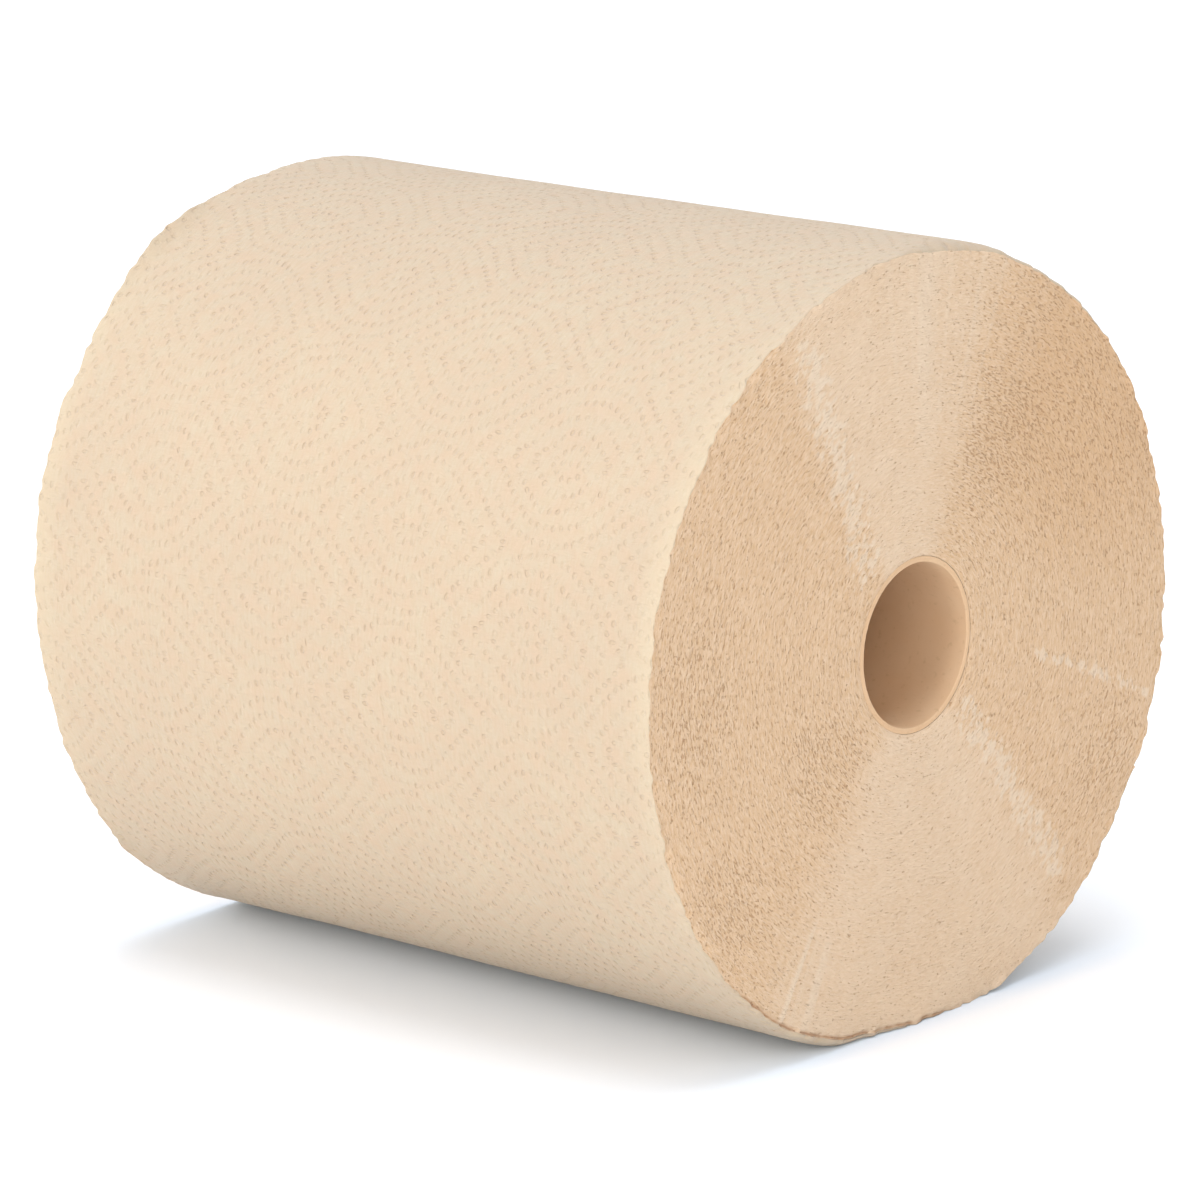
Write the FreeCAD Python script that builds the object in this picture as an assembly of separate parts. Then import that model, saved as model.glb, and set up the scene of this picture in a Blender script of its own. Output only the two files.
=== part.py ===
"""A paper towel roll: kraft paper wound on a cardboard core, lying on its side.

Millimetres. X runs along the roll, +X towards the end that is seen, and Z is up.
The origin is on the surface that the roll lies on, under the middle of its bounding box.
Angles of the section are in degrees, from +Y (the back) towards +Z (the top).
"""

import FreeCAD
import Part
import math
import os

# Driving dimensions of the paper
WEB_WIDTH = 200.0  # width of the paper, so also the roll's length
MEAN_RADIUS = 100.6  # of the outermost turn, before the roll sags
SHEET_THICKNESS = 0.3  # of the embossed paper, the step at its loose end
TAIL_ANGLE = -28.0  # where the loose end lies, low on the back

# How the roll sags under its own weight
SAG = 2.4  # how far its broad sides stand out, and its top comes down
SAG_TURN = -11.0  # the direction of the broad side at the back
SQUARENESS = 0.65  # how far four soft shoulders stand out
SQUARENESS_TURN = 58.0  # the direction of the first shoulder
MIDDLE_HEIGHT = 94.5  # of the section's middle above the flat spot
FLAT_WIDTH = 38.0  # of the flat spot that the roll rests on
FLAT_BLEND = 28.0  # angle from straight down to where the flat spot's soft edges end
CORNER_TENSION = 0.6  # how far those edges follow their two tangents

# Rims and end faces
RIM_DEPTH = 3.2  # how far the soft rim reaches along the roll
RIM_INSET = 1.8  # how far the rim draws in at the end face
RIM_BELLY_DEPTH = 0.8  # the rim's second station, nearer the end face
RIM_BELLY_INSET = 0.6
GROOVE_COUNT = 8  # slack turns that show as rings on each end face
GROOVE_WIDTH = 1.4
GROOVE_DEPTH = 0.8
GROOVE_MARGIN = 6.0  # paper left whole next to the core and to the rim
GROOVE_UNEVENNESS = 2.0  # how far a ring strays from even spacing
GROOVE_RHYTHM = 137.5  # degrees from one ring's stray to the next, so that none repeats

# Driving dimensions of the core
CORE_BORE_RADIUS = 20.5
CORE_WALL = 1.5
CORE_RECESS = 0.4  # how far each end of the core lies inside the end face
CORE_SHIFT_Y = -1.1  # of the core from the section's middle, by the sag
CORE_SHIFT_Z = 0.9

# How finely curves follow the section's formula
ANGLE_STEP = 8.0
INNER_ANGLE_STEP = 20.0

CORE_OUTER_RADIUS = CORE_BORE_RADIUS + CORE_WALL
CORE_LENGTH = WEB_WIDTH - 2 * CORE_RECESS
CORE_HEIGHT = MIDDLE_HEIGHT + CORE_SHIFT_Z
FULL_TURN = 360.0
STRAIGHT_DOWN = 270.0
ALONG = FreeCAD.Vector(1, 0, 0)


def outer_radius(angle):
    """Distance of the outermost turn from the section's middle, flat spot left out."""
    sag = SAG * math.cos(math.radians(2 * (angle - SAG_TURN)))
    shoulders = SQUARENESS * math.cos(math.radians(4 * (angle - SQUARENESS_TURN)))
    turned = (angle - TAIL_ANGLE) / FULL_TURN
    spiral = SHEET_THICKNESS * (turned - 0.5)
    return MEAN_RADIUS + sag + shoulders + spiral


def polar_point(radius, angle):
    """Y and Z of a point of the section, Y from the section's middle."""
    y = radius * math.cos(math.radians(angle))
    z = MIDDLE_HEIGHT + radius * math.sin(math.radians(angle))
    return y, z


def middle_shift():
    """Y of the section's middle that puts the bounding box evenly about the origin."""
    half_turn = range(-90, 271)
    sides = [polar_point(outer_radius(angle), angle)[0] for angle in half_turn]
    return -(max(sides) + min(sides)) / 2


MIDDLE_Y = middle_shift()
CORE_Y = MIDDLE_Y + CORE_SHIFT_Y


def rim_point(x, angle, inset):
    """Point of the outermost turn, drawn in by the inset."""
    y, z = polar_point(outer_radius(angle) - inset, angle)
    return FreeCAD.Vector(x, MIDDLE_Y + y, z)


def turn_tangent(angle):
    """Unit direction of the outermost turn at an angle, towards rising angles."""
    ahead = rim_point(0, angle + 0.5, 0)
    behind = rim_point(0, angle - 0.5, 0)
    return (ahead - behind).normalize()


def angles_between(start, end, step):
    """Evenly spaced angles from start to end, both included, about one step apart."""
    count = max(2, round(abs(end - start) / step))
    return [start + (end - start) * i / count for i in range(count + 1)]


def turn_edge(x, start, end, inset):
    """Edge along the outermost turn between two angles."""
    angles = angles_between(start, end, ANGLE_STEP)
    curve = Part.BSplineCurve()
    curve.interpolate(Points=[rim_point(x, angle, inset) for angle in angles])
    return curve.toShape()


def soft_corner(flat_end, turn_end, angle):
    """Edge that bends from the level of the flat spot into the turn at an angle.

    Its two inner poles lie towards the point where the level meets the turn's tangent.
    """
    tangent = turn_tangent(angle)
    corner = turn_end + tangent * ((flat_end.z - turn_end.z) / tangent.z)
    level_pole = flat_end + (corner - flat_end) * CORNER_TENSION
    turn_pole = turn_end + (corner - turn_end) * CORNER_TENSION
    curve = Part.BezierCurve()
    curve.setPoles([flat_end, level_pole, turn_pole, turn_end])
    return curve.toShape()


def outer_edges(x, inset):
    """Closed outline of the outermost turn at a place along the roll, edge by edge.

    It runs from the flat spot round its soft edge and up the back to the loose end,
    over the step there, on over the top and down the front, and along the flat spot.
    """
    back_flat = FreeCAD.Vector(x, MIDDLE_Y + FLAT_WIDTH / 2, inset)
    front_flat = FreeCAD.Vector(x, MIDDLE_Y - FLAT_WIDTH / 2, inset)
    back_start = STRAIGHT_DOWN + FLAT_BLEND
    front_end = STRAIGHT_DOWN - FLAT_BLEND
    tail = TAIL_ANGLE + FULL_TURN
    return [
        soft_corner(back_flat, rim_point(x, back_start, inset), back_start),
        turn_edge(x, back_start, tail, inset),
        Part.makeLine(rim_point(x, tail, inset), rim_point(x, TAIL_ANGLE, inset)),
        turn_edge(x, TAIL_ANGLE, front_end, inset),
        soft_corner(front_flat, rim_point(x, front_end, inset), front_end),
        Part.makeLine(front_flat, back_flat),
    ]


def inner_turn(x, share):
    """Closed outline of a turn inside the roll.

    Share 0 is the turn on the core, a circle, and share 1 the outermost turn, so
    the turns grow less round from the core outwards.
    """
    points = []
    for angle in angles_between(0, FULL_TURN, INNER_ANGLE_STEP)[:-1]:
        radius = outer_radius(angle)
        downwards = -math.sin(math.radians(angle))
        if downwards > 0:
            radius = min(radius, MIDDLE_HEIGHT / downwards)
        y, z = polar_point(radius, angle)
        outside = FreeCAD.Vector(x, MIDDLE_Y + y, z)
        core_y = CORE_Y + CORE_OUTER_RADIUS * math.cos(math.radians(angle))
        core_z = CORE_HEIGHT + CORE_OUTER_RADIUS * math.sin(math.radians(angle))
        inside = FreeCAD.Vector(x, core_y, core_z)
        points.append(inside + (outside - inside) * share)
    curve = Part.BSplineCurve()
    curve.interpolate(Points=points, PeriodicFlag=True)
    return Part.Wire([curve.toShape()])


def core_circle(x):
    """Outline of the hole in the paper that the core fills."""
    centre = FreeCAD.Vector(x, CORE_Y, CORE_HEIGHT)
    return Part.Wire([Part.makeCircle(CORE_OUTER_RADIUS, centre, ALONG)])


def groove_shares():
    """Inner edge, deepest line and outer edge of each slack turn, unevenly spaced."""
    paper = MEAN_RADIUS - CORE_OUTER_RADIUS
    room = paper - 2 * GROOVE_MARGIN
    shares = []
    for i in range(GROOVE_COUNT):
        even = GROOVE_MARGIN + room * (i + 0.5) / GROOVE_COUNT
        middle = even + GROOVE_UNEVENNESS * math.sin(math.radians(GROOVE_RHYTHM * i))
        edges = (middle - GROOVE_WIDTH / 2, middle, middle + GROOVE_WIDTH / 2)
        shares.append([edge / paper for edge in edges])
    return shares


def ruled_face(turn, next_turn):
    """Surface of straight lines between two closed turns."""
    return Part.makeRuledSurface(turn.Edges[0], next_turn.Edges[0])


def end_face(x, inwards):
    """The turns' edges at one end: flat lands of tight paper between V-shaped grooves.

    Inwards is the direction from the end face into the roll, 1 or -1.
    """
    faces = []
    land_start = core_circle(x)
    for inner_edge, deepest, outer_edge in groove_shares():
        land_end = inner_turn(x, inner_edge)
        valley = inner_turn(x + inwards * GROOVE_DEPTH, deepest)
        faces.append(Part.Face([land_end, land_start]))
        faces.append(ruled_face(land_end, valley))
        land_start = inner_turn(x, outer_edge)
        faces.append(ruled_face(valley, land_start))
    rim = Part.Wire(Part.sortEdges(outer_edges(x, RIM_INSET))[0])
    faces.append(Part.Face([rim, land_start]))
    return faces


def strip_face(edge, next_edge):
    """Surface of straight lines between two edges, a plane where both are straight."""
    if isinstance(edge.Curve, Part.Line) and isinstance(next_edge.Curve, Part.Line):
        corners = [vertex.Point for vertex in edge.Vertexes + next_edge.Vertexes[::-1]]
        return Part.Face(Part.makePolygon(corners + corners[:1]))
    return Part.makeRuledSurface(edge, next_edge)


def skin_faces():
    """The outermost turn from rim to rim, drawn in softly at both ends."""
    half = WEB_WIDTH / 2
    stations = [
        (-half, RIM_INSET),
        (-half + RIM_BELLY_DEPTH, RIM_BELLY_INSET),
        (-half + RIM_DEPTH, 0),
        (half - RIM_DEPTH, 0),
        (half - RIM_BELLY_DEPTH, RIM_BELLY_INSET),
        (half, RIM_INSET),
    ]
    outlines = [outer_edges(x, inset) for x, inset in stations]
    faces = []
    for outline, next_outline in zip(outlines, outlines[1:]):
        for edge, next_edge in zip(outline, next_outline):
            faces.append(strip_face(edge, next_edge))
    return faces


def make_winding():
    """All turns of paper as one solid, with soft rims, grooved ends and a round hole."""
    half = WEB_WIDTH / 2
    hole = core_circle(-half).extrude(ALONG * WEB_WIDTH)
    faces = skin_faces() + hole.Faces + end_face(half, -1) + end_face(-half, 1)
    surface = Part.makeCompound(faces)
    surface.sewShape()
    winding = Part.Solid(surface.Shells[0])
    winding.fix(0.01, 0.01, 0.01)
    return winding


def core_rod(radius, length):
    """Round bar about the core's axis, even about the roll's middle."""
    start = FreeCAD.Vector(-length / 2, CORE_Y, CORE_HEIGHT)
    return Part.makeCylinder(radius, length, start, ALONG)


def make_core():
    """The cardboard tube that the paper is wound on."""
    return core_rod(CORE_OUTER_RADIUS, CORE_LENGTH).cut(core_rod(CORE_BORE_RADIUS, WEB_WIDTH))


def write_part(name, shape):
    """Write one piece as a STEP file and print its size."""
    solid = shape.Solids[0]
    box = solid.BoundBox
    print(name, "valid", solid.isValid(), "solids", len(shape.Solids), "volume", round(solid.Volume))
    print("  x", round(box.XMin, 3), round(box.XMax, 3), "y", round(box.YMin, 3), round(box.YMax, 3))
    print("  z", round(box.ZMin, 3), round(box.ZMax, 3))
    solid.exportStep("parts/" + name + ".step")


os.makedirs("parts", exist_ok=True)
write_part("paper_winding", make_winding())
write_part("core_tube", make_core())
print("core axis y", round(CORE_Y, 3), "z", CORE_HEIGHT, "flat spot's middle y", round(MIDDLE_Y, 3))
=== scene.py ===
"""A roll of unbleached paper towel lying on a pale floor.

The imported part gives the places: the winding's box gives the roll's length and
breadth, and the core's box gives the axis that the turns run round. Lengths are in
millimetres up to the point where a mesh is made, which turns them into metres.
Angles of the section are in degrees, from +Y (the back) towards +Z (the top).
"""

import bpy
import numpy as np
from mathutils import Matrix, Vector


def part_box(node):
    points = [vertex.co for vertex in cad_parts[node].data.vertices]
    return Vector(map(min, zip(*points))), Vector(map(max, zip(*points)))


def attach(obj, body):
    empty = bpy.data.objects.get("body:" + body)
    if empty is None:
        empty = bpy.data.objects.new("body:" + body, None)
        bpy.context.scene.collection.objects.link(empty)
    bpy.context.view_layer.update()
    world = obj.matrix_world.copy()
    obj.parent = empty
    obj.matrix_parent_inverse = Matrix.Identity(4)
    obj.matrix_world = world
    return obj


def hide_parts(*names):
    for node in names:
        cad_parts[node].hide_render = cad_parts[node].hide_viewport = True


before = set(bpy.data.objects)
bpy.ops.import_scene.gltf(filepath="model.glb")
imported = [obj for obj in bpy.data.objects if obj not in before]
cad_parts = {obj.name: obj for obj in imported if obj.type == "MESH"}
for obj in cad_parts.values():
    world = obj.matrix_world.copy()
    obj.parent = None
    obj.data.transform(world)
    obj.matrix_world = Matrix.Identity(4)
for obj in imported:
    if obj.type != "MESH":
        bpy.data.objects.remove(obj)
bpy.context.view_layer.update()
roll_low, roll_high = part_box("paper_winding")
core_low, core_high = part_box("core_tube")

MM = 0.001

# The roll and its core, from the frame
HALF_LENGTH = (roll_high.x - roll_low.x) / 2 / MM
HALF_BREADTH = (roll_high.y - roll_low.y) / 2 / MM
CORE_Y = (core_low.y + core_high.y) / 2 / MM
CORE_Z = (core_low.z + core_high.z) / 2 / MM
CORE_RADIUS = (core_high.z - core_low.z) / 2 / MM
CORE_HALF_LENGTH = (core_high.x - core_low.x) / 2 / MM
CORE_WALL = 1.5

# The sagged section of the outermost turn
MIDDLE_Y = CORE_Y + 1.1  # the sag moves the core off the section's middle
MIDDLE_Z = CORE_Z - 0.9
MEAN_RADIUS = HALF_BREADTH - 1.8  # the broad sides stand out from the mean circle
SAG = 2.4
SAG_TURN = -11.0
SQUARENESS = 0.65
SQUARENESS_TURN = 58.0
SHEET_THICKNESS = 0.3
TAIL_ANGLE = -28.0  # the loose end, low on the back
FULL_TURN = 360.0
FLAT_SOFTNESS = 0.9  # how gently the turn bends into the flat spot
LEAST_SLOPE = 0.2  # keeps the way down to the floor's level finite

# The rims, as the roll's rough handling has left them: pairs of an angle round the
# roll and how far the cut edge lies outside (+) or inside (-) the turn's radius there
NEAR_RIM = ((0, -0.1), (30, -0.3), (38, -0.6), (48, -1.2), (62, -1.4), (72, -1.1), (82, -1.0), (88, -0.6),
            (93, 0.3), (101, 1.0), (112, 0.5), (150, 0.2), (166, 0.7), (196, 0.7), (210, 0.3), (219, 0.0),
            (226, -0.8), (240, -0.9), (244, -1.2), (250, -1.5), (256, -1.3), (264, -0.8), (270, 0.0),
            (276, 0.2), (284, 0.4), (292, 0.1), (304, 0.3), (312, -0.2), (320, -1.3), (328, -1.2),
            (336, 0.2), (348, 0.8), (360, -0.1))
FAR_RIM = ((0, -0.2), (100, 0.0), (106, 0.4), (112.5, 0.9), (115.8, 2.3), (118, 2.2), (124.6, 3.0),
           (126.5, 2.1), (131, 1.4), (138, 0.7), (143, 0.0), (150, -0.4), (164, 0.5), (172, 0.1),
           (180, -0.3), (198, -0.3), (204, 0.5), (214, 0.5), (224, 1.2), (234, 0.6), (250, 0.0), (360, -0.2))
RIM_REACH = 5.0  # where the finer columns of the rims end
RIM_INSET = 0.25  # the least rounding of a rim
RIM_DEPTH = 0.6  # how far that rounding reaches along the roll
DEPTH_PER_INSET = 2.0
FLARE_REACH = 5.0  # how far a rim that stands out does so
EDGE_REACH = 9.0  # how far the cut edge's unevenness reaches along the roll
EDGE_RIPPLES = ((0.2, 6.5), (0.12, 2.6))  # how far it stands up and down, and the waves' length
SCALLOPS = ((0.25, 9.0), (0.75, 2.0))  # how far it runs out and in, and the waves' length
END_SHIFT = 40.0  # degrees that part the waves of one end from the other's

# Where the near end isn't even: middle angle, half width and how much
SWELLS = ((84.0, 34.0, 1.1), (66.0, 15.0, -0.8), (248.0, 26.0, 0.7))  # more radius towards it
FOOT_LEAN = (272.0, 20.0, 1.6)  # how far it stands out along the roll
TORN_FOOT = (240.0, 30.0, 1.7)  # how many times deeper its scallops are
SWELL_SPAN = (-60.0, 80.0)  # where along the roll the swells grow

# Uneven waves in the sheet: their length along the roll and round it, then the
# noise's third coordinate and its seed
LONG_WAVES = (46, 58, 0.3, 7)
SHORT_WAVES = (19, 30, 0.6, 8)
WAVE_HEIGHT = 0.45
RINGS_ALONG = (31, 23, 0.2, 9)
RINGS_ROUND = (27, 29, 0.8, 10)
RING_STRAY = 0.7  # twice how far a ring strays at most
DOTS_ALONG = (3.3, 3.1, 0.4, 13)
DOTS_ROUND = (3.1, 3.4, 0.7, 14)
DOT_STRAY = 1.3  # twice how far a dot strays from its ring at most
DOT_STRENGTH = (6, 6, 0.5, 11)
PILLOWS = (2.2, 2.6, 0.1, 12)
PILLOW_HEIGHT = 0.05

# The embossed dots: cells of five rings round a short row, in staggered columns
CELL_COLUMN = 41.3  # spacing of the columns along the roll
CELL_REPEAT = 44.1  # spacing of the cells round the roll
CELL_PLACE = (21.4, 69.8)  # one cell's middle: along from the roll's middle, round from RING_START_ANGLE
RING_START_ANGLE = 95.0  # where lengths round the roll count from
RING_STEP = 4.15
RING_COUNT = 5
DOTS_PER_STEP = 3  # dots more in each quarter of a ring than in the ring inside it
QUARTER_SHARE = np.pi / 4 + 1  # length of a quarter ring over its distance
DOT_PITCH = RING_STEP * QUARTER_SHARE / DOTS_PER_STEP
DOT_HALF_LENGTH = 0.8  # round the roll
DOT_HALF_WIDTH = 0.5  # along it
DOT_DEPTH = 0.15

# How finely the surfaces are drawn
ANGLE_COUNT = 840
RIM_COLUMNS = 9
BODY_COLUMNS = 326
NEAR_RINGS = 171
BAND_RING = 74  # the ring where the near end's outer band starts
FAR_RINGS = 51
PANEL_COUNT = 4

NEAR_END = 1
FAR_END = -1

# Marks on the near end face: radii in millimetres, angles in degrees
# Wedges above and below the core: fibres pressed flat, made paler still by a painted sheen
WEDGES = ((60, 90, 114, 128), (222, 246, 300, 318))  # rise, full, fade, fall
SMEAR_PATHS = (  # radii, angles, half width
    ((24, 39, 50, 63, 80, 98), (133, 128, 124, 121, 120.5, 119.5), 6.5),
    ((23, 40, 60, 78, 93), (315, 313, 312, 311, 310), 5.0),
    ((46, 60, 75, 88, 101), (347.5, 346, 344.5, 343.5, 342.5), 1.6),
)
FLUTED_PATCHES = (((84, 80), (42, 30), 0.5), ((90, 238), (24, 9), 1.0))  # middle, size, strength
SPECKED_PATCHES = (  # middle, size
    ((84, 178), (22, 26)),
    ((86, 331), (22, 18)),
    ((56, 58), (30, 26)),
    ((42, 215), (24, 34)),
    ((88, 215), (16, 18)),
)
WARM_PATCH = ((84, 36), (60, 44))
LIP_TURN = MEAN_RADIUS - 0.4  # where the outermost sheets part at the foot
LIP_WIDTH = 0.42
LIP_SPAN = (252, 36)  # middle angle, half width
LIT_RIM = (165, 80)  # where the rims catch the light, painted as a highlight on the tissue: middle angle, half width
WEDGE_RAGGEDNESS = 14  # degrees by which the wedges' edges stray, twice over
WEDGE_GRAIN = (9, 11)  # size of that straying: millimetres outwards, degrees round
FAR_FACE_TURN = 75  # how far the far face's wedges are turned from the near one's
FLAKE_GRAIN = (1.7, 1.3)  # size of the smears' flakes: across the face, from turn to turn
FLUTE_STEP = 1.9

# The end faces' unevenness: its height, and its size across the face and from turn
# to turn
TURN_HEIGHT = 0.14
TURN_SIZE = 2.3
SLOW_HEIGHT = 0.35
SLOW_SIZE = (21, 9)
BUNDLE_HEIGHT = 0.16  # bundles of fibre
BUNDLE_SIZE = (1.7, 0.75)
SPECK_SIZE = 13
FLUTE_HEIGHT = 0.2
FLAKE_HEIGHT = 0.08
LIP_DROP = 0.6
CORE_DROP = 0.5  # how far the paper falls back next to the core

# The core's rims
PLY_COUNT = 4
PLY_HEIGHT = 0.07
CORE_ROUNDING = 0.25
CORE_CLEARANCE = 0.02  # from the paper round it
CORE_ROUGHNESS = 0.08
CORE_ROUGH_STEP = 2.5  # degrees
CORE_ANGLE_COUNT = 240
CORE_RIM_COUNT = 17
CORE_BORE_COUNT = 40

# The studio, in metres and degrees. The camera is fitted to the photograph's outline
# of the roll.
CAMERA_PLACE = (1.05215, -1.25121, 0.48532)
CAMERA_TURN = (76.44, 0.0, 40.10)
SENSOR_WIDTH = 36
FOCAL_LENGTH = 200.04
VIEW_END = 30
FLOOR_HALF = 7.0
TINT_START = 0.025  # where in front and behind the floor starts to lose its cool tint
TINT_REACH = 0.09  # how much farther the tint ends
TINT_STRETCH = 8  # how many times sooner it ends past the roll's ends
WORLD_LIGHT = 0.72
SKY_LEVEL = (1.02, 1.0, 0.97, 1)
SKY_OVERHEAD = (0.91, 0.985, 1.1, 1)
WHITE = (1.0, 1.0, 1.0)
COOL = (0.95, 0.99, 1.06)
LIGHT_AIM = (0, 0, 0.09)
LIGHTS = (  # name, place, side, power in watts, colour
    ("key", (-0.9, -2.4, 1.2), 1.8, 12.5, WHITE),
    ("camera side", (1.6, -2.0, 1.0), 1.5, 16.5, WHITE),
    ("left", (-2.4, -1.4, 1.0), 1.5, 24.0, WHITE),
    ("right", (2.4, 0.2, 1.2), 1.5, 8.0, WHITE),
    ("top", (0.0, 0.0, 2.6), 2.0, 33.0, COOL),
    ("low front", (0.2, -2.4, 0.35), 1.0, 16.0, WHITE),
    ("back", (-1.0, 2.0, 1.6), 2.0, 6.0, COOL),
)


def linear(code):
    """An sRGB colour such as "EED7BC" as linear red, green, blue and full cover."""
    channels = np.array([int(code[place:place + 2], 16) for place in (0, 2, 4)]) / 255
    curved = ((channels + 0.055) / 1.055) ** 2.4
    return (*np.where(channels <= 0.04045, channels / 12.92, curved), 1.0)


def cosd(angle):
    return np.cos(np.radians(angle))


def sind(angle):
    return np.sin(np.radians(angle))


def smooth(value, start, end):
    """0 before start, 1 past end, and an S-curve between them."""
    share = np.clip((value - start) / (end - start), 0, 1)
    return share * share * (3 - 2 * share)


def cell_noise(first, second, third, seed):
    """Smooth noise from 0 to 1: seeded random values on whole numbers of the three
    coordinates, blended between them with an S-curve."""
    size = 64
    table = np.random.default_rng(seed).random((size, size, size))
    first, second, third = np.broadcast_arrays(first, second, third)
    total = np.zeros(first.shape)
    floors = [np.floor(axis).astype(int) for axis in (first, second, third)]
    shares = [axis - floor for axis, floor in zip((first, second, third), floors)]
    shares = [share * share * (3 - 2 * share) for share in shares]
    for corner in np.ndindex(2, 2, 2):
        weight = np.ones(first.shape)
        places = []
        for floor, share, step in zip(floors, shares, corner):
            weight = weight * (share if step else 1 - share)
            places.append((floor + step) % size)
        total += weight * table[tuple(places)]
    return total


def ripples(angle, length, seed):
    """Uneven waves round the roll, about -1 to 1, of about that length in millimetres."""
    around = np.radians(angle) * MEAN_RADIUS / length
    return 2 * cell_noise(around, np.zeros_like(around), 0.5, seed) - 1


def sheet_waves(along, turned, length, width, third, seed):
    """Uneven waves over the sheet, -0.5 to 0.5, of a length along the roll and a width
    round it."""
    return cell_noise(along / length, turned / width, third, seed) - 0.5


def turn_radius(angle):
    """The outermost turn's distance from the section's middle.

    A circle that sags into two broad sides and four soft shoulders, grows by one
    sheet over the full turn, and blends into the level of the flat spot below.
    """
    sag = SAG * cosd(2 * (angle - SAG_TURN)) + SQUARENESS * cosd(4 * (angle - SQUARENESS_TURN))
    spiral = SHEET_THICKNESS * ((angle - TAIL_ANGLE) / FULL_TURN - 0.5)
    free = MEAN_RADIUS + sag + spiral
    level = MIDDLE_Z / np.maximum(-sind(angle), LEAST_SLOPE)
    return (free + level - np.hypot(free - level, FLAT_SOFTNESS)) / 2


def turned_length(angle):
    """Length of paper round the roll from RING_START_ANGLE, for rising angles."""
    radius = turn_radius(angle)
    steps = np.radians(np.diff(angle)) * (radius[1:] + radius[:-1]) / 2
    length = np.concatenate([[0], np.cumsum(steps)])
    return length - np.interp(RING_START_ANGLE, angle, length)


def cell_place(along, turned):
    """Place of a point in the nearest emboss cell: distance, arc and offset along.

    The distance is the radius of a curve that is round above and below the middle and
    runs straight to a point on each side. The arc is the way along that curve from
    its top or foot, over the distance. Low and high, over the distance, are the
    curve's outward direction. Two lattices make the staggered columns.
    """
    nearest = None
    for shift in (0, 0.5):
        across = np.abs((along / (2 * CELL_COLUMN) + shift + 0.5) % 1 - 0.5) * 2 * CELL_COLUMN
        upward = np.abs((turned / CELL_REPEAT + shift + 0.5) % 1 - 0.5) * CELL_REPEAT
        half_sum = (across + upward) / 2
        low, high = np.minimum(across, half_sum), np.maximum(upward, half_sum)
        distance = np.hypot(low, high)
        arc = np.arctan2(low, high) + (across - low) * np.sqrt(2) / np.maximum(distance, 0.01)
        place = np.stack([distance, arc, across, upward, low, high])
        if nearest is None:
            nearest = place
        else:
            nearest = np.where(distance < nearest[0], place, nearest)
    return nearest


def dots(along, turned):
    """1 in the middle of each embossed dot, falling to 0 as a bell does.

    The way off a ring and the way along it to the nearest dot are turned into ways
    along and round the roll, because each dot is an oval that stands round it.
    """
    distance, arc, across, upward, low, high = cell_place(along, turned)
    ring = np.clip(np.round(distance / RING_STEP), 1, RING_COUNT)
    outward = distance - ring * RING_STEP
    beside = DOT_PITCH * ((ring * DOTS_PER_STEP * arc / QUARTER_SHARE) % 1 - 0.5)
    reach = np.maximum(distance, 0.01)
    off_along = (outward * low + beside * high) / reach
    off_round = (outward * high - beside * low) / reach
    off = np.hypot(off_along / DOT_HALF_WIDTH, off_round / DOT_HALF_LENGTH)
    row_along = across - DOT_PITCH * np.clip(np.round(across / DOT_PITCH), 0, 1)
    row = np.hypot(row_along / DOT_HALF_WIDTH, upward / DOT_HALF_LENGTH)
    return np.exp(-np.minimum(off, row) ** 2)


def near_angle(angle, middle):
    """Degrees from a middle angle, -180 to 180."""
    return (angle - middle + 180) % FULL_TURN - 180


def bell(angle, middle, half_width):
    """1 at a middle angle, falling to 0 at the half width on both sides."""
    return 1 - smooth(np.abs(near_angle(angle, middle)), 0, half_width)


def foot_lean(angle, end):
    """How far the near end stands out along the roll at its foot."""
    middle, half_width, most = FOOT_LEAN
    return most * bell(angle, middle, half_width) * (end > 0)


def rim_offset(angle, end):
    """How far the cut edge of one end lies outside the turn's radius."""
    near = np.interp(angle % FULL_TURN, *zip(*NEAR_RIM))
    far = np.interp(angle % FULL_TURN, *zip(*FAR_RIM))
    return np.where(end > 0, near, far)


def skin_columns():
    """Places along the roll, from the far end to the near one, denser at the rims."""
    rim = RIM_REACH * (1 - np.cos(np.linspace(0, np.pi / 2, RIM_COLUMNS + 1)))
    body = np.linspace(RIM_REACH, 2 * HALF_LENGTH - RIM_REACH, BODY_COLUMNS + 1)[1:-1]
    return np.concatenate([rim, body, 2 * HALF_LENGTH - rim[::-1]]) - HALF_LENGTH


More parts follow.
